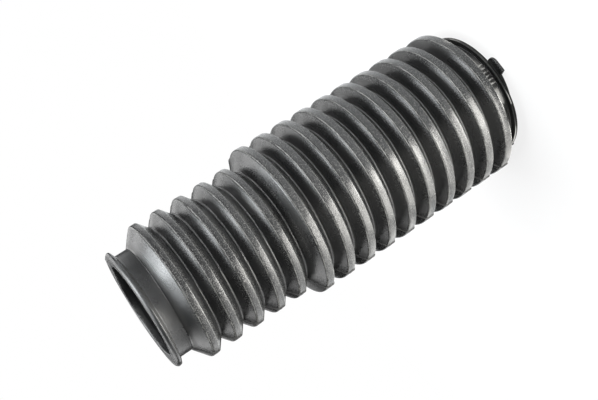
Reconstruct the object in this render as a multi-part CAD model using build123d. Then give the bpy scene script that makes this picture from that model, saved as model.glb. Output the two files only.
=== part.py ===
from build123d import *
import math
import os

# Rubber bellows boot, moulded as one piece, in millimetres.
# It stands on its large end: the axis is +Z, the end face is z = 0 and the small end is up.
# The mould parts in the XZ plane.

# Large end: a thin flange below a seat for a band clamp
large_seat_radius = 27.4
large_seat_width = 5.2
large_seat_wall = 2.9
flange_overhang = 2.6
flange_thickness = 1.6
shoulder_height = 2.6

# Large convolutions
large_count = 10
large_pitch = 11.05
large_crest_radius = 36.0
large_crest_width = 3.5
large_fold_depth = 6.3

# Small convolutions, above the large ones
small_count = 5
small_pitch = 10.85
small_crest_width = 2.85
small_fold_depth = 5.0
step_height = 4.3

# Small end: a cone, a seat for a band clamp and a beaded lip
cone_height = 5.5
cone_drop = 7.2
small_seat_radius = 24.6
small_seat_width = 5.9
small_seat_wall = 3.1
lip_overhang = 2.8
lip_rise = 1.2
lip_rim_width = 0.9
lip_chamfer = 0.8

# Wall of the convolutions, and the sealing groove inside each bore
wall = 1.5
groove_depth = 0.7
groove_width = 3.0
groove_inset = 2.6

# Tab on the flange, and the low web that runs from its side along the flange
tab_angle = -97.0
tab_width = 8.6
tab_reach = 5.4
tab_thickness = 1.1
tab_sharp_corner = 0.5
tab_round_corner = 3.2
web_height = 1.9
web_middle_height = 1.0
web_angle = 17.0

# Parting fin, along both sides of the boot
fin_height = 0.45
fin_width = 0.5
fin_root = 0.4


def convolutions(lowest, count, pitch, crest_radius, crest_width, valley_radius):
    """Outer corners of a run of trapezoid crests, with a sharp valley between each two."""
    corners = []
    for index in range(count):
        bottom = lowest + index * pitch
        top = bottom + crest_width
        corners += [(crest_radius, bottom), (crest_radius, top)]
        if index < count - 1:
            corners.append((valley_radius, (top + bottom + pitch) / 2))
    return corners


def moved_corners(path, depths):
    """Corners of a path whose lines are each moved into the wall by their own depth, then met again."""
    lines = []
    for (r0, z0), (r1, z1), depth in zip(path, path[1:], depths):
        length = math.hypot(r1 - r0, z1 - z0)
        dr, dz = (r1 - r0) / length, (z1 - z0) / length
        lines.append((r0 - depth * dz, z0 + depth * dr, dr, dz))
    corners = []
    for (ra, za, dra, dza), (rb, zb, drb, dzb) in zip(lines, lines[1:]):
        along = ((rb - ra) * dzb - (zb - za) * drb) / (dra * dzb - dza * drb)
        corners.append((ra + along * dra, za + along * dza))
    return corners


def groove(radius, low, high):
    """Corners of a shallow vee groove in a bore."""
    return [(radius, low), (radius + groove_depth, (low + high) / 2), (radius, high)]


# Radii that follow from those above
flange_radius = large_seat_radius + flange_overhang
large_bore_radius = large_seat_radius - large_seat_wall
large_valley_radius = large_crest_radius - large_fold_depth
small_crest_radius = small_seat_radius + cone_drop
small_valley_radius = small_crest_radius - small_fold_depth
small_bore_radius = small_seat_radius - small_seat_wall
lip_radius = small_seat_radius + lip_overhang

# Heights of the main stations
large_seat_top = flange_thickness + large_seat_width
large_bottom = large_seat_top + shoulder_height
large_top = large_bottom + (large_count - 1) * large_pitch + large_crest_width
step_valley = large_top + step_height
small_bottom = step_valley + (small_pitch - small_crest_width) / 2
small_top = small_bottom + (small_count - 1) * small_pitch + small_crest_width
small_seat_bottom = small_top + cone_height
small_seat_top = small_seat_bottom + small_seat_width
lip_low = small_seat_top + lip_rise
lip_high = lip_low + lip_rim_width
height = lip_high + lip_chamfer

# Outer line of the section from the foot of the large seat to the top of the small one
outer = [(large_seat_radius, flange_thickness), (large_seat_radius, large_seat_top)]
outer += convolutions(
    large_bottom, large_count, large_pitch, large_crest_radius, large_crest_width, large_valley_radius
)
outer.append((small_valley_radius, step_valley))
outer += convolutions(
    small_bottom, small_count, small_pitch, small_crest_radius, small_crest_width, small_valley_radius
)
outer += [(small_seat_radius, small_seat_bottom), (small_seat_radius, small_seat_top)]

# The seats are thicker than the convolutions, down to their bores
thicknesses = [wall] * (len(outer) - 1)
thicknesses[0] = large_seat_wall
thicknesses[-1] = small_seat_wall
inner = moved_corners(outer, thicknesses)

flange = [
    (large_bore_radius, 0),
    (flange_radius, 0),
    (flange_radius, flange_thickness),
]
lip = [
    (lip_radius, lip_low),
    (lip_radius, lip_high),
    (lip_radius - lip_chamfer, height),
    (small_bore_radius, height),
]
small_groove = groove(small_bore_radius, height - groove_inset - groove_width, height - groove_inset)
large_groove = groove(large_bore_radius, groove_inset, groove_inset + groove_width)


def moulded_wall():
    """The closed section, turned once round the axis."""
    corners = flange + outer + lip + small_groove[::-1] + inner[::-1] + large_groove[::-1]
    with BuildPart() as body:
        with BuildSketch(Plane.XZ):
            with BuildLine():
                Polyline(*corners, close=True)
            make_face()
        revolve(axis=Axis.Z)
    return body.part


def polar(radius, angle):
    """A point at this radius and angle from the axis."""
    return (radius * math.cos(math.radians(angle)), radius * math.sin(math.radians(angle)))


def flange_tab():
    """A flat tab with one corner well rounded, and the web beside it."""
    side = tab_width / 2
    root = math.sqrt(large_seat_radius**2 - side**2)
    tip = flange_radius + tab_reach
    web_start = -math.degrees(math.asin(side / flange_radius))
    web_foot = polar(flange_radius + web_height, web_start)
    web_middle = polar(flange_radius + web_middle_height, web_start - web_angle / 2)
    web_end = polar(flange_radius, web_start - web_angle)
    web_inside = polar(large_seat_radius, web_start - web_angle)
    with BuildPart() as tab:
        with BuildSketch():
            with BuildLine():
                Polyline((root, -side), (tip, -side), (tip, side), (root, side), close=True)
            make_face()
            sharp, blunt = vertices().sort_by(Axis.X)[-2:].sort_by(Axis.Y)
            fillet(sharp, radius=tab_sharp_corner)
            fillet(blunt, radius=tab_round_corner)
            with BuildLine():
                ThreePointArc(web_foot, web_middle, web_end)
                Polyline(web_end, web_inside, (root, 0), web_foot)
            make_face()
        extrude(amount=tab_thickness)
    return tab.part.rotate(Axis.Z, tab_angle)


def parting_fin():
    """The thin ridge that follows the outer line, on the side of +X."""
    side = flange[1:] + outer + lip[:-1]
    path = flange[:1] + side + lip[-1:]
    raised = moved_corners(path, [0] + [-fin_height for _ in side[1:]] + [0])
    sunk = moved_corners(path, [0] + [fin_root for _ in side[1:]] + [0])
    with BuildPart() as fin:
        with BuildSketch(Plane.XZ):
            with BuildLine():
                Polyline(*raised, *sunk[::-1], close=True)
            make_face()
        extrude(amount=fin_width / 2, both=True)
    return fin.part


fin = parting_fin()
boot = moulded_wall() + flange_tab() + fin + fin.mirror(Plane.YZ)

os.makedirs("parts", exist_ok=True)
export_step(boot, "parts/bellows_boot.step")
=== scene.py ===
import math

import bmesh
import bpy
from mathutils import Matrix, Vector


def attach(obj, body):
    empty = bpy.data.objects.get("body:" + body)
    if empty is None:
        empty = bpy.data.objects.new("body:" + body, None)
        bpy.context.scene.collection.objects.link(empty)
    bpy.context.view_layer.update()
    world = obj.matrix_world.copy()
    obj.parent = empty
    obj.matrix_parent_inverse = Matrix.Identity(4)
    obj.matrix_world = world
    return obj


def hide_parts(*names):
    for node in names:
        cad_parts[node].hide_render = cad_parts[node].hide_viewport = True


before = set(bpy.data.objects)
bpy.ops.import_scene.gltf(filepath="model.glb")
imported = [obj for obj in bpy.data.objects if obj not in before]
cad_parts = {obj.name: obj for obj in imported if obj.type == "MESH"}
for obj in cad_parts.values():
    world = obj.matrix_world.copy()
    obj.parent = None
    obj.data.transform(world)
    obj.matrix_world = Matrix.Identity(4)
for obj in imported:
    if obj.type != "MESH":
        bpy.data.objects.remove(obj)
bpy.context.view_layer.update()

# Sizes of the boot are in millimetres, as in the part's source, and its meshes are scaled to metres
MM = 0.001

# Large end: a thin flange below a seat for a band clamp
LARGE_SEAT_R, LARGE_SEAT_W, LARGE_SEAT_WALL = 27.4, 5.2, 2.9
FLANGE_OVERHANG, FLANGE_T = 2.6, 1.6
SHOULDER_H = 2.6

# Large convolutions
LARGE_CRESTS, LARGE_PITCH = 10, 11.05
LARGE_CREST_R, LARGE_CREST_W, LARGE_FOLD_DEPTH = 36.0, 3.5, 6.3

# Small convolutions, above the large ones
SMALL_CRESTS, SMALL_PITCH = 5, 10.85
SMALL_CREST_W, SMALL_FOLD_DEPTH = 2.85, 5.0
STEP_H = 4.3

# Small end: a cone, a seat for a band clamp and a beaded lip
CONE_H, CONE_DROP = 5.5, 7.2
SMALL_SEAT_R, SMALL_SEAT_W, SMALL_SEAT_WALL = 24.6, 5.9, 3.1
LIP_OVERHANG, LIP_RISE, LIP_RIM_W, LIP_CHAMFER = 2.8, 1.2, 0.9, 0.8

# Wall of the convolutions, and the sealing groove inside each bore
WALL = 1.5
GROOVE_DEPTH, GROOVE_W, GROOVE_INSET = 0.7, 3.0, 2.6

# Rounding of the section's corners: a crest is rounder on its upper side
CREST_LOW_ROUND, CREST_HIGH_ROUND, VALLEY_ROUND = 0.45, 1.35, 0.7
INNER_ROUND, END_ROUND, LIP_ROUND = 0.4, 0.35, 0.6

# The largest share of a side that the rounding at one of its ends may take
MOST_CUT = 0.48

# Parting fin, along both sides of the boot: its sides lean out by the draft at its foot
FIN_H, FIN_W, FIN_DRAFT = 0.42, 0.4, 0.08

# Tab on the flange, and the low web that runs from its side along the flange
TAB_ANGLE, TAB_W, TAB_REACH, TAB_T = -97.0, 8.6, 5.4, 1.1
TAB_SHARP, TAB_ROUND, TAB_EDGE, TAB_EDGE_STEPS = 0.5, 3.2, 0.18, 3
TAB_ROOT_OUT = 0.6
WEB_H, WEB_MIDDLE_H, WEB_ANGLE = 1.9, 1.0, 17.0

# Plain raised ticks on the large seat: how many, the first one's angle and the step to the next
TICKS, TICK_ANGLE, TICK_STEP = 6, -87.0, -4.0
TICK_LOW, TICK_HIGH, TICK_W, TICK_H = 2.2, 4.6, 0.6, 0.4
TICK_DRAFT, TICK_SUNK, TICK_EDGE, TICK_EDGE_STEPS = 0.12, 0.3, 0.06, 2

# Radii that follow from those above
FLANGE_R = LARGE_SEAT_R + FLANGE_OVERHANG
LARGE_BORE_R = LARGE_SEAT_R - LARGE_SEAT_WALL
LARGE_VALLEY_R = LARGE_CREST_R - LARGE_FOLD_DEPTH
SMALL_CREST_R = SMALL_SEAT_R + CONE_DROP
SMALL_VALLEY_R = SMALL_CREST_R - SMALL_FOLD_DEPTH
SMALL_BORE_R = SMALL_SEAT_R - SMALL_SEAT_WALL
LIP_R = SMALL_SEAT_R + LIP_OVERHANG
TAB_ROOT_R = LARGE_SEAT_R + TAB_ROOT_OUT

# Heights of the main stations
LARGE_SEAT_TOP = FLANGE_T + LARGE_SEAT_W
LARGE_BOTTOM = LARGE_SEAT_TOP + SHOULDER_H
LARGE_TOP = LARGE_BOTTOM + (LARGE_CRESTS - 1) * LARGE_PITCH + LARGE_CREST_W
STEP_VALLEY = LARGE_TOP + STEP_H
SMALL_BOTTOM = STEP_VALLEY + (SMALL_PITCH - SMALL_CREST_W) / 2
SMALL_TOP = SMALL_BOTTOM + (SMALL_CRESTS - 1) * SMALL_PITCH + SMALL_CREST_W
SMALL_SEAT_BOTTOM = SMALL_TOP + CONE_H
SMALL_SEAT_TOP = SMALL_SEAT_BOTTOM + SMALL_SEAT_W
LIP_LOW = SMALL_SEAT_TOP + LIP_RISE
LIP_HIGH = LIP_LOW + LIP_RIM_W
HEIGHT = LIP_HIGH + LIP_CHAMFER

# Fineness of the meshes: columns round the boot, the most degrees that one step of a rounding turns
# on the outside and on the inside, steps along a curve of the tab, and the angle that stays sharp
COLUMNS = 144
OUTER_TURN, INNER_TURN = 16, 30
CURVE_STEPS = 8
SHARP_ANGLE = 40

# Camera: its place in millimetres and the directions of the picture's right and upper side
CAMERA_PLACE = (-102.853, -365.686, 215.215)
CAMERA_RIGHT = (-0.59184535, -0.08516844, -0.8015394)
CAMERA_UP = (0.76097784, -0.38690653, -0.52078409)
CAMERA_LENS, CAMERA_SENSOR = 54.97, 36

# Where the rubber's look changes, as two distances in millimetres between which it fades in:
# below the crests, above the valleys, and from the parting plane
CREST_FADE = (0.9, 0.05)
SPECK_FADE = (3, 0.8)
# Painted shade deepens into the folds between these two depths below the crests
FOLD_SHADE_FADE = (0.7, 2.5)
VALLEY_FADE = (2.2, 0.1)
OUTSIDE_FADE = (-0.5, -0.1)
SEAM_FADE = (0.55, 0.25)

# The look changes from the large convolutions to the small ones half way up the step, and the painted shade
# in the folds ends just below the top of the last crest
LOOK_CONE_DROP = 0.3
LOOK_STEP_Z = LARGE_TOP + STEP_H / 2
LOOK_CONE_Z = SMALL_TOP - LOOK_CONE_DROP

# Rounded edges of the crests, as how far the surface faces up or down: where they begin and end
EDGE_BEGINS, EDGE_ENDS = (0.25, 0.45), (0.7, 0.5)

# Noises of the rubber, each as a scale and a detail, and the levels between which they fade in
MOTTLE_NOISE, MOTTLE_LEVELS = (55, 5), (0.35, 0.65)
SPECK_NOISE, SPECK_LEVELS = (2200, 3), (0.5, 0.7)
SCUFF_AND_HIGHLIGHT_NOISE, SCUFF_AND_HIGHLIGHT_LEVELS = (300, 3), (0.25, 0.6)
PAINTED_LIGHT_NOISE, PAINTED_LIGHT_LEVELS = (900, 3), (0.3, 0.6)
DUST_NOISE = (220, 4)
GRAIN_NOISE = (2000, 3)

# Rings left by the turned mould, and the height of the whole grain in millimetres
RING_SCALE, RING_DISTORTION, RING_DETAIL, RING_SHARE = 700, 1.2, 2, 0.12
GRAIN_STRENGTH, GRAIN_H = 0.6, 0.08

# Colours of the rubber
DARK_RUBBER = (0.008, 0.0084, 0.0088, 1)
LIGHT_RUBBER = (0.014, 0.0144, 0.0148, 1)
DUST_COLOUR = (0.09, 0.088, 0.082, 1)
# Painted shade in the folds
FOLD_SHADE_COLOUR = (0.004, 0.004, 0.004, 1)
SPECK_COLOUR = (0.11, 0.11, 0.105, 1)
# Pale scuffs on the crest edges, partly wear and partly a painted highlight line along them
SCUFF_AND_HIGHLIGHT_COLOUR = (0.2, 0.2, 0.19, 1)
# Pale patches of painted light on the ticks, standing in for the light they would catch
PAINTED_LIGHT_COLOUR = (0.2, 0.2, 0.195, 1)
SEAM_COLOUR = (0.006, 0.006, 0.006, 1)

# Shares of those colours that cover what is below them
DUST_SHARE, FOLD_SHADE_SHARE, SPECK_SHARE, SCUFF_AND_HIGHLIGHT_SHARE, PAINTED_LIGHT_SHARE, SEAM_SHARE = 0.2, 0.6, 0.55, 0.45, 1, 0.8

# Roughness of plain rubber, how much each change of the look adds to it, and the specular level
ROUGHNESS = 0.245
ROUGHNESS_CHANGES = {
    "mottle": 0.04,
    "valley": 0.14,
    "crest": -0.03,
    "edge": -0.08,
    "seam": 0.25,
    "specks": 0.14,
}
SPECULAR_LEVEL = 0.5

# Surroundings: the soft light from all round, and the floor, which is seen nearly white but darker
# near the boot, between two distances in metres, where it keeps the shadow
WORLD_GLOW = 0.02
FLOOR_HALF = 4000
FLOOR_COLOUR = (0.6, 0.6, 0.6, 1)
FLOOR_ROUGHNESS = 0.9
FLOOR_NEAR, FLOOR_FAR = 0.05, 0.35
FLOOR_NEAR_SHARE = 0.8

# Colours of the lights
WHITE, COOL, WARM = (1, 1, 1), (0.94, 0.98, 1), (1, 0.98, 0.93)

# Panels on the floor lie just above it, and one that overlaps others lies higher than they do
PANEL_Z, UPPER_PANEL_Z = 0.001, 0.0016


def moved_corners(path, depths):
    """Corners of a path whose lines are each moved into the wall by their own depth, then met again."""
    lines = []
    for (r0, z0, _), (r1, z1, _), depth in zip(path, path[1:], depths):
        length = math.hypot(r1 - r0, z1 - z0)
        dr, dz = (r1 - r0) / length, (z1 - z0) / length
        lines.append((r0 - depth * dz, z0 + depth * dr, dr, dz))
    corners = []
    for (ra, za, dra, dza), (rb, zb, drb, dzb) in zip(lines, lines[1:]):
        along = ((rb - ra) * dzb - (zb - za) * drb) / (dra * dzb - dza * drb)
        corners.append((ra + along * dra, za + along * dza, INNER_ROUND))
    return corners


def convolutions(lowest, count, pitch, crest_r, crest_w, valley_r):
    """Corners of a run of crests with a valley between each two, as radius, height and rounding."""
    corners = []
    for index in range(count):
        bottom = lowest + index * pitch
        top = bottom + crest_w
        corners += [(crest_r, bottom, CREST_LOW_ROUND), (crest_r, top, CREST_HIGH_ROUND)]
        if index < count - 1:
            corners.append((valley_r, (top + bottom + pitch) / 2, VALLEY_ROUND))
    return corners


def groove(radius, low):
    """Corners of a shallow vee groove in a bore, from its upper edge down."""
    return [
        (radius, low + GROOVE_W, END_ROUND),
        (radius + GROOVE_DEPTH, low + GROOVE_W / 2, END_ROUND),
        (radius, low, END_ROUND),
    ]


def section():
    """The closed section as corners, and how many of its first corners are on the outside."""
    outer = [(LARGE_SEAT_R, FLANGE_T, END_ROUND), (LARGE_SEAT_R, LARGE_SEAT_TOP, VALLEY_ROUND)]
    outer += convolutions(
        LARGE_BOTTOM, LARGE_CRESTS, LARGE_PITCH, LARGE_CREST_R, LARGE_CREST_W, LARGE_VALLEY_R
    )
    outer.append((SMALL_VALLEY_R, STEP_VALLEY, VALLEY_ROUND))
    outer += convolutions(
        SMALL_BOTTOM, SMALL_CRESTS, SMALL_PITCH, SMALL_CREST_R, SMALL_CREST_W, SMALL_VALLEY_R
    )
    outer += [(SMALL_SEAT_R, SMALL_SEAT_BOTTOM, END_ROUND), (SMALL_SEAT_R, SMALL_SEAT_TOP, END_ROUND)]

    # The seats are thicker than the convolutions, down to their bores
    depths = [WALL] * (len(outer) - 1)
    depths[0] = LARGE_SEAT_WALL
    depths[-1] = SMALL_SEAT_WALL
    inner = moved_corners(outer, depths)

    flange = [
        (LARGE_BORE_R, 0, END_ROUND),
        (FLANGE_R, 0, END_ROUND),
        (FLANGE_R, FLANGE_T, END_ROUND),
    ]
    lip = [
        (LIP_R, LIP_LOW, LIP_ROUND),
        (LIP_R, LIP_HIGH, LIP_ROUND),
        (LIP_R - LIP_CHAMFER, HEIGHT, LIP_ROUND),
        (SMALL_BORE_R, HEIGHT, LIP_ROUND),
    ]
    outside = flange + outer + lip
    small_groove = groove(SMALL_BORE_R, HEIGHT - GROOVE_INSET - GROOVE_W)
    large_groove = groove(LARGE_BORE_R, GROOVE_INSET)
    return outside + small_groove + inner[::-1] + large_groove, len(outside)


def rounded(corners, outside_count):
    """Points along the rounded section: place, outward normal, and whether the fin follows it there."""
    points = []
    count = len(corners)
    for index, (r, z, radius) in enumerate(corners):
        here = Vector((r, z))
        before = here - Vector(corners[index - 1][:2])
        after = Vector(corners[(index + 1) % count][:2]) - here
        into, out = before.normalized(), after.normalized()
        turn = math.atan2(into.x * out.y - into.y * out.x, into.dot(out))
        convex = math.copysign(1, turn)
        cut = min(radius * math.tan(abs(turn) / 2), MOST_CUT * before.length, MOST_CUT * after.length)
        radius = cut / math.tan(abs(turn) / 2)
        normal = Vector((into.y, -into.x))
        centre = here - into * cut - normal * radius * convex
        most_turn = OUTER_TURN if index < outside_count else INNER_TURN
        steps = max(2, math.ceil(abs(turn) / math.radians(most_turn)))
        has_fin = 1 <= index < outside_count - 1
        for step in range(steps + 1):
            n = Matrix.Rotation(turn * step / steps, 2) @ normal
            points.append((centre + n * radius * convex, n, has_fin))
    return points


def boot_columns():
    """Columns round the boot: base angle, sideways shift and how far the fin lifts the column."""
    side, foot = FIN_W / 2, FIN_W / 2 + FIN_DRAFT
    columns = []
    for index in range(COLUMNS):
        angle = 2 * math.pi * index / COLUMNS
        if index % (COLUMNS // 2) == 0:
            columns += [(angle, -foot, 0), (angle, -side, FIN_H), (angle, side, FIN_H), (angle, foot, 0)]
        else:
            columns.append((angle, 0, 0))
    return columns


def mesh_object(name, bm):
    """Turns a bmesh in millimetres into a smooth-shaded object in metres, with its sharp edges kept."""
    bmesh.ops.recalc_face_normals(bm, faces=bm.faces)
    for face in bm.faces:
        face.smooth = True
    for edge in bm.edges:
        edge.smooth = edge.calc_face_angle(0) < math.radians(SHARP_ANGLE)
    bmesh.ops.scale(bm, vec=(MM, MM, MM), verts=bm.verts)
    mesh = bpy.data.meshes.new(name)
    bm.to_mesh(mesh)
    bm.free()
    made = bpy.data.objects.new(name, mesh)
    bpy.context.scene.collection.objects.link(made)
    return made


def moulded_wall():
    """The whole wall: the rounded section turned round the axis, with the fin on both sides."""
    points = rounded(*section())
    bm = bmesh.new()
    grid = []
    for angle, shift, lift in boot_columns():
        turn = Matrix.Rotation(angle, 3, "Z")
        ring = []
        for place, normal, has_fin in points:
            raised = place + normal * lift if has_fin else place
            z = min(max(raised.y, 0), HEIGHT)
            across = Vector((math.sqrt(raised.x**2 - shift**2), shift, z))
            ring.append(bm.verts.new(turn @ across))
        grid.append(ring)
    for left, right in zip(grid, grid[1:] + grid[:1]):
        for index in range(len(points)):
            following = (index + 1) % len(points)
            bm.faces.new((left[index], right[index], right[following], left[following]))
    return mesh_object("moulded_wall", bm)


def polar(radius, angle):
    """A point at this radius and angle, in degrees, from the axis."""
    return Vector((radius * math.cos(math.radians(angle)), radius * math.sin(math.radians(angle))))


def tab_outline():
    """Outline of the web and the tab, before the turn to its place."""
    side = TAB_W / 2
    tip = FLANGE_R + TAB_REACH
    web_start = -math.degrees(math.asin(side / FLANGE_R))
    points = []

    # The web's edge is a parabola, from the flange's edge through the middle height up to the full one
    for step in range(CURVE_STEPS + 1):
        share = step / CURVE_STEPS
        height = WEB_MIDDLE_H * 4 * share * (1 - share) + WEB_H * share * (2 * share - 1)
        points.append(polar(FLANGE_R + height, web_start - WEB_ANGLE * (1 - share)))

    for centre, radius, first in (
        ((tip - TAB_SHARP, -side + TAB_SHARP), TAB_SHARP, -90),
        ((tip - TAB_ROUND, side - TAB_ROUND), TAB_ROUND, 0),
    ):
        for step in range(CURVE_STEPS + 1):
            points.append(Vector(centre) + polar(radius, first + 90 * step / CURVE_STEPS))
    points.append(Vector((TAB_ROOT_R, side)))
    points.append(Vector((TAB_ROOT_R, -side)))
    points.append(polar(TAB_ROOT_R, web_start - WEB_ANGLE))
    return points


def flange_tab():
    """The tab and its web, with the edges of both flat faces broken."""
    bm = bmesh.new()
    turn = Matrix.Rotation(math.radians(TAB_ANGLE), 3, "Z")
    low = [bm.verts.new(turn @ Vector((*point, 0))) for point in tab_outline()]
    bm.faces.new(low)
    grown = bmesh.ops.extrude_face_region(bm, geom=bm.faces[:])
    raised = [v for v in grown["geom"] if isinstance(v, bmesh.types.BMVert)]
    bmesh.ops.translate(bm, vec=(0, 0, TAB_T), verts=raised)
    rims = [e for e in bm.edges if abs(e.verts[0].co.z - e.verts[1].co.z) < TAB_T / 2]
    bmesh.ops.bevel(bm, geom=rims, offset=TAB_EDGE, segments=TAB_EDGE_STEPS, profile=0.5, affect="EDGES")
    return mesh_object("flange_tab", bm)


def seat_ticks():
    """Equal raised ticks on the large seat, with drafted sides, sunk a little into the seat."""
    bm = bmesh.new()
    for index in range(TICKS):
        turn = Matrix.Rotation(math.radians(TICK_ANGLE + index * TICK_STEP), 3, "Z")
        rings = []
        for radius, grow in ((LARGE_SEAT_R - TICK_SUNK, TICK_DRAFT), (LARGE_SEAT_R + TICK_H, 0)):
            side = TICK_W / 2 + grow
            low, high = TICK_LOW - grow, TICK_HIGH + grow
            corners = ((side, low), (side, high), (-side, high), (-side, low))
            rings.append([bm.verts.new(turn @ Vector((radius, across, z))) for across, z in corners])
        foot, top = rings
        bm.faces.new(top)
        bm.faces.new(foot[::-1])
        for i in range(4):
            bm.faces.new((foot[i], foot[(i + 1) % 4], top[(i + 1) % 4], top[i]))
    edges = bm.edges[:]
    bmesh.ops.bevel(bm, geom=edges, offset=TICK_EDGE, segments=TICK_EDGE_STEPS, profile=0.5, affect="EDGES")
    return mesh_object("seat_ticks", bm)


class Nodes:
    """Makes and joins the nodes of one material."""

    def __init__(self, made):
        made.use_nodes = True
        self.nodes, self.links = made.node_tree.nodes, made.node_tree.links
        self.shader = self.nodes["Principled BSDF"]
        self.coordinates = self.nodes.new("ShaderNodeTexCoord")
        self.place = self.coordinates.outputs["Object"]

    def feed(self, socket, given):
        """Links an output to the socket, or sets a number or a colour on it."""
        if isinstance(given, bpy.types.NodeSocket):
            self.links.new(given, socket)
        else:
            socket.default_value = given

    def calculate(self, operation, first, second=0.0):
        node = self.nodes.new("ShaderNodeMath")
        node.operation = operation
        self.feed(node.inputs[0], first)
        self.feed(node.inputs[1], second)
        return node.outputs["Value"]

    def times(self, first, second):
        return self.calculate("MULTIPLY", first, second)

    def plus(self, first, second):
        return self.calculate("ADD", first, second)

    def between(self, given, low, high, lowest=0, highest=1):
        """Runs smoothly from the lowest value at low to the highest at high."""
        node = self.nodes.new("ShaderNodeMapRange")
        node.interpolation_type = "SMOOTHSTEP"
        self.feed(node.inputs["Value"], given)
        node.inputs["From Min"].default_value = low
        node.inputs["From Max"].default_value = high
        node.inputs["To Min"].default_value = lowest
        node.inputs["To Max"].default_value = highest
        return node.outputs["Result"]

    def noise(self, scale, detail):
        node = self.nodes.new("ShaderNodeTexNoise")
        self.links.new(self.place, node.inputs["Vector"])
        node.inputs["Scale"].default_value = scale
        node.inputs["Detail"].default_value = detail
        return node.outputs["Fac"]

    def length(self, vector):
        node = self.nodes.new("ShaderNodeVectorMath")
        node.operation = "LENGTH"
        self.links.new(vector, node.inputs[0])
        return node.outputs["Value"]

    def split(self, vector):
        node = self.nodes.new("ShaderNodeSeparateXYZ")
        self.links.new(vector, node.inputs["Vector"])
        return node.outputs["X"], node.outputs["Y"], node.outputs["Z"]

    def blend(self, share, below, above):
        node = self.nodes.new("ShaderNodeMix")
        node.data_type = "RGBA"
        self.feed(node.inputs["Factor"], share)
        self.feed(node.inputs["A"], below)
        self.feed(node.inputs["B"], above)
        return node.outputs["Result"]


def radius_of_look(tools, x, y, z):
    """Distance from the axis, as if the small crests stood as far out as the large ones."""
    flat = tools.nodes.new("ShaderNodeCombineXYZ")
    tools.links.new(x, flat.inputs["X"])
    tools.links.new(y, flat.inputs["Y"])
    is_small = tools.calculate("GREATER_THAN", z, LOOK_STEP_Z * MM)
    lift = tools.times(is_small, (LARGE_CREST_R - SMALL_CREST_R) * MM)
    return tools.plus(tools.length(flat.outputs["Vector"]), lift)


def rubber_masks(tools):
    """Where each change of the rubber's look shows, from 0 to 1."""
    x, y, z = tools.split(tools.place)
    radius = radius_of_look(tools, x, y, z)

    def below_crests(start, end):
        return tools.between(radius, (LARGE_CREST_R - start) * MM, (LARGE_CREST_R - end) * MM)

    def above_valleys(start, end):
        return tools.between(radius, (LARGE_VALLEY_R + start) * MM, (LARGE_VALLEY_R + end) * MM)

    facing_z = tools.split(tools.coordinates.outputs["Normal"])[2]
    slant = tools.calculate("ABSOLUTE", facing_z)
    edge = tools.times(tools.between(slant, *EDGE_BEGINS), tools.between(slant, *EDGE_ENDS))
    crest = below_crests(*CREST_FADE)
    specks = tools.between(tools.noise(*SPECK_NOISE), *SPECK_LEVELS)
    below_cone = tools.calculate("LESS_THAN", z, LOOK_CONE_Z * MM)
    from_seam = tools.calculate("ABSOLUTE", y)
    return {
        "mottle": tools.between(tools.noise(*MOTTLE_NOISE), *MOTTLE_LEVELS),
        "crest": crest,
        "edge": tools.times(edge, crest),
        "specks": tools.times(specks, below_crests(*SPECK_FADE)),
        # Painted shade, deeper into the folds, up to the top of the last crest
        "fold_shade": tools.times(below_crests(*FOLD_SHADE_FADE), below_cone),
        "valley": tools.times(above_valleys(*VALLEY_FADE), above_valleys(*OUTSIDE_FADE)),
        "seam": tools.between(from_seam, SEAM_FADE[0] * MM, SEAM_FADE[1] * MM),
    }


def rubber_colour(tools, masks, painted_light):
    """Mottled black, then dust low in the folds, painted shade in the folds, pale specks, pale scuffs on the
    crest edges that also paint a highlight along them, where asked for pale patches of painted light, and
    the dark fin.
    """
    dust = tools.times(masks["valley"], tools.noise(*DUST_NOISE))
    # Pale scuffs on the rounded crest edges: partly wear, partly a painted highlight line along each crest
    scuffs_and_highlight = tools.times(masks["edge"], tools.between(tools.noise(*SCUFF_AND_HIGHLIGHT_NOISE), *SCUFF_AND_HIGHLIGHT_LEVELS))
    layers = [
        (dust, DUST_SHARE, DUST_COLOUR),
        (masks["fold_shade"], FOLD_SHADE_SHARE, FOLD_SHADE_COLOUR),
        (masks["specks"], SPECK_SHARE, SPECK_COLOUR),
        (scuffs_and_highlight, SCUFF_AND_HIGHLIGHT_SHARE, SCUFF_AND_HIGHLIGHT_COLOUR),
        (masks["seam"], SEAM_SHARE, SEAM_COLOUR),
    ]
    # Pale patches of painted light, which stand in for the light the ticks would catch
    if painted_light:
        pale_painted_light = tools.between(tools.noise(*PAINTED_LIGHT_NOISE), *PAINTED_LIGHT_LEVELS)
        layers.insert(-1, (pale_painted_light, PAINTED_LIGHT_SHARE, PAINTED_LIGHT_COLOUR))
    tone = tools.blend(masks["mottle"], DARK_RUBBER, LIGHT_RUBBER)
    for mask, share, colour in layers:
        tone = tools.blend(tools.times(mask, share), tone, colour)
    return tone


def rubber_roughness(tools, masks):
    """Lower where the crests and their edges are rubbed, higher low in the folds and on the fin."""
    rough = ROUGHNESS
    for name, change in ROUGHNESS_CHANGES.items():
        rough = tools.plus(rough, tools.times(masks[name], change))
    return rough


def rubber_grain(tools):
    """Normal of a pebbled skin with faint rings left by the turned mould."""
    rings = tools.nodes.new("ShaderNodeTexWave")
    rings.bands_direction = "Z"
    tools.links.new(tools.place, rings.inputs["Vector"])
    rings.inputs["Scale"].default_value = RING_SCALE
    rings.inputs["Distortion"].default_value = RING_DISTORTION
    rings.inputs["Detail"].default_value = RING_DETAIL
    skin = tools.plus(tools.noise(*GRAIN_NOISE), tools.times(rings.outputs["Fac"], RING_SHARE))
    bump = tools.nodes.new("ShaderNodeBump")
    bump.inputs["Strength"].default_value = GRAIN_STRENGTH
    bump.inputs["Distance"].default_value = GRAIN_H * MM
    tools.links.new(skin, bump.inputs["Height"])
    return bump.outputs["Normal"]


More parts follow.
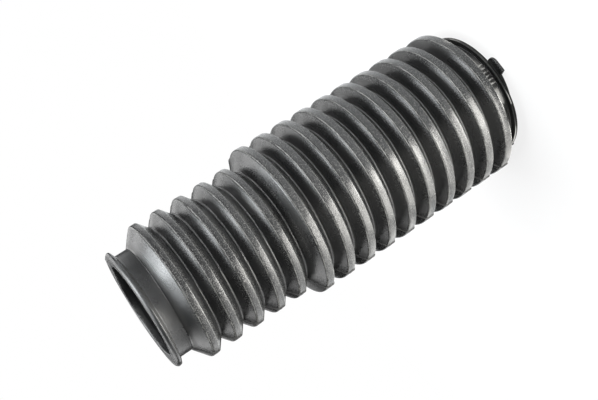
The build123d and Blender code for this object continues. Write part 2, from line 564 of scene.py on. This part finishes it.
def rubber(name, painted_light):
    """Black moulded rubber, satin and finely grained, with pale patches of painted light where asked for."""
    made = bpy.data.materials.new(name)
    tools = Nodes(made)
    masks = rubber_masks(tools)
    tools.feed(tools.shader.inputs["Base Color"], rubber_colour(tools, masks, painted_light))
    tools.feed(tools.shader.inputs["Roughness"], rubber_roughness(tools, masks))
    tools.feed(tools.shader.inputs["Normal"], rubber_grain(tools))
    tools.shader.inputs["Specular IOR Level"].default_value = SPECULAR_LEVEL
    return made


def fitted_camera():
    """The camera, placed by fitting the boot's rings to the photograph."""
    data = bpy.data.cameras.new("camera")
    data.sensor_width = CAMERA_SENSOR
    data.lens = CAMERA_LENS
    camera = bpy.data.objects.new("camera", data)
    bpy.context.scene.collection.objects.link(camera)
    right, up = Vector(CAMERA_RIGHT), Vector(CAMERA_UP)
    turn = Matrix((right, up, right.cross(up))).transposed()
    camera.matrix_world = Matrix.Translation(Vector(CAMERA_PLACE) * MM) @ turn.to_4x4()
    bpy.context.scene.camera = camera


def studio_world():
    """Plain soft light from all round, which the camera sees as white."""
    world = bpy.data.worlds.new("world")
    world.use_nodes = True
    nodes, links = world.node_tree.nodes, world.node_tree.links
    lit = nodes["Background"]
    lit.inputs["Strength"].default_value = WORLD_GLOW
    seen = nodes.new("ShaderNodeBackground")
    seen.inputs["Color"].default_value = (*WHITE, 1)
    seen.inputs["Strength"].default_value = 1
    path = nodes.new("ShaderNodeLightPath")
    mix = nodes.new("ShaderNodeMixShader")
    links.new(path.outputs["Is Camera Ray"], mix.inputs["Fac"])
    links.new(lit.outputs["Background"], mix.inputs[1])
    links.new(seen.outputs["Background"], mix.inputs[2])
    links.new(mix.outputs["Shader"], nodes["World Output"].inputs["Surface"])
    bpy.context.scene.world = world


def floor_material():
    """Pale floor that the camera sees nearly white, and less so near the boot."""
    made = bpy.data.materials.new("floor")
    tools = Nodes(made)
    tools.shader.inputs["Base Color"].default_value = FLOOR_COLOUR
    tools.shader.inputs["Roughness"].default_value = FLOOR_ROUGHNESS
    glow = tools.nodes.new("ShaderNodeEmission")
    glow.inputs["Strength"].default_value = 1
    path = tools.nodes.new("ShaderNodeLightPath")
    away = tools.length(tools.place)
    fade = tools.between(away, FLOOR_NEAR, FLOOR_FAR, lowest=FLOOR_NEAR_SHARE)
    mix = tools.nodes.new("ShaderNodeMixShader")
    tools.links.new(tools.times(path.outputs["Is Camera Ray"], fade), mix.inputs["Fac"])
    tools.links.new(tools.shader.outputs["BSDF"], mix.inputs[1])
    tools.links.new(glow.outputs["Emission"], mix.inputs[2])
    tools.links.new(mix.outputs["Shader"], tools.nodes["Material Output"].inputs["Surface"])
    return made


def pale_floor():
    """A wide pale floor under the boot, which keeps a soft shadow."""
    bm = bmesh.new()
    bmesh.ops.create_grid(bm, x_segments=1, y_segments=1, size=FLOOR_HALF)
    floor = mesh_object("floor", bm)
    floor.data.materials.append(floor_material())


def panel(name, place, aim, size, glow, colour):
    """An evenly glowing soft panel at a place, turned to an aim, which the camera doesn't see."""
    data = bpy.data.lights.new(name, "AREA")
    data.shape = "RECTANGLE"
    data.size, data.size_y = size
    data.energy = glow * math.pi * size[0] * size[1]
    data.color = colour
    made = bpy.data.objects.new(name, data)
    made.location = place
    made.rotation_euler = aim
    made.visible_camera = False
    bpy.context.scene.collection.objects.link(made)


def softbox(name, azimuth, height, glow, size=(0.42, 0.42), distance=0.9, middle=0.09, colour=WHITE):
    """A softbox at an azimuth and a height in degrees, which looks at the boot's axis."""
    level, turn = math.radians(height), math.radians(azimuth)
    away = Vector((math.cos(level) * math.cos(turn), math.cos(level) * math.sin(turn), math.sin(level)))
    aim = (-away).to_track_quat("-Z", "Y").to_euler()
    panel(name, Vector((0, 0, middle)) + away * distance, aim, size, glow, colour)


def floor_panel(name, azimuth, near, far, width, glow, z=PANEL_Z):
    """A panel that lies on the floor, runs outwards between two distances and shines up."""
    turn = math.radians(azimuth)
    middle = (near + far) / 2
    place = (middle * math.cos(turn), middle * math.sin(turn), z)
    panel(name, place, (math.pi, 0, -turn), (far - near, width), glow, WARM)


def studio_lights():
    """The lights, with places in metres and degrees round the boot."""
    # High and level softboxes, which light the flanks that face up
    softbox("top", azimuth=0, height=88, glow=7.2, colour=COOL)
    softbox("high_back_left", azimuth=22, height=66, glow=9.6, colour=COOL)
    softbox("high_left", azimuth=322, height=66, glow=12.4, colour=COOL)
    softbox("back_left", azimuth=36, height=40, glow=3.2)
    softbox("back", azimuth=72, height=40, glow=2.7)
    softbox("back_right", azimuth=108, height=40, glow=2.7)
    softbox("low_back", azimuth=80, height=6, glow=0.9, size=(0.4, 0.16))
    softbox("low_back_left", azimuth=50, height=14, glow=1.3, size=(0.42, 0.3))
    softbox("front", azimuth=295, height=44, glow=4.6, size=(0.32, 0.32))
    softbox("left", azimuth=347, height=22, glow=5.6, size=(0.32, 0.32))

    # Thin strips, which draw the bright line along the upper edge of each crest
    softbox("brow", azimuth=264, height=22, glow=25, size=(0.8, 0.08))
    softbox("brow_left", azimuth=312, height=22, glow=20, size=(0.7, 0.08))
    softbox("brow_far_left", azimuth=20, height=20, glow=2, size=(0.7, 0.1))
    softbox("brow_right", azimuth=160, height=20, glow=5, size=(0.7, 0.1))

    # Long strips beside the boot
    softbox("strip_left", azimuth=12, height=0, glow=1, size=(0.5, 0.12), distance=0.55, middle=0.061)
    softbox("strip_right", azimuth=158, height=0, glow=2.1, size=(0.9, 0.12), distance=0.55, middle=0.061)

    # Panels on the floor, which the flats of the crests reflect
    floor_panel("floor_back", azimuth=158, near=0.13, far=0.5, width=0.14, glow=2.2)
    floor_panel("floor_side", azimuth=187, near=0.13, far=0.5, width=0.17, glow=6.4)
    floor_panel("floor_middle", azimuth=203, near=0.08, far=0.3, width=0.05, glow=7.5, z=UPPER_PANEL_Z)
    floor_panel("floor_right", azimuth=219, near=0.11, far=0.27, width=0.08, glow=29)
    floor_panel("floor_far_right", azimuth=216, near=0.27, far=0.58, width=0.18, glow=23)

    # Panels at the boot's foot, which the lowest crests reflect
    floor_panel("foot_back", azimuth=160, near=0.04, far=0.13, width=0.06, glow=1)
    floor_panel("foot_side", azimuth=190, near=0.04, far=0.13, width=0.06, glow=3.1)
    floor_panel("foot_right", azimuth=224, near=0.04, far=0.11, width=0.032, glow=19)

    # Small panels beside the flange, which the large seat reflects
    floor_panel("rim_back", azimuth=168, near=0.0305, far=0.036, width=0.02, glow=5)
    floor_panel("rim_side", azimuth=203, near=0.0305, far=0.038, width=0.02, glow=10)
    floor_panel("rim_right", azimuth=235, near=0.0305, far=0.04, width=0.02, glow=13)
    floor_panel("rim_front", azimuth=272, near=0.0305, far=0.038, width=0.024, glow=4)
    floor_panel("rim_left", azimuth=312, near=0.0305, far=0.038, width=0.024, glow=3)


wall = moulded_wall()
tab = flange_tab()
ticks = seat_ticks()
# The ticks' rubber has pale patches of painted light
plain, painted_light_tick_rubber = rubber("rubber", painted_light=False), rubber("rubber_with_painted_light", painted_light=True)
for piece, material in ((wall, plain), (tab, plain), (ticks, painted_light_tick_rubber)):
    piece.data.materials.append(material)
    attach(piece, "root")
    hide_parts("bellows_boot")

fitted_camera()
studio_world()
pale_floor()
studio_lights()
bpy.context.scene.view_settings.view_transform = "Standard"
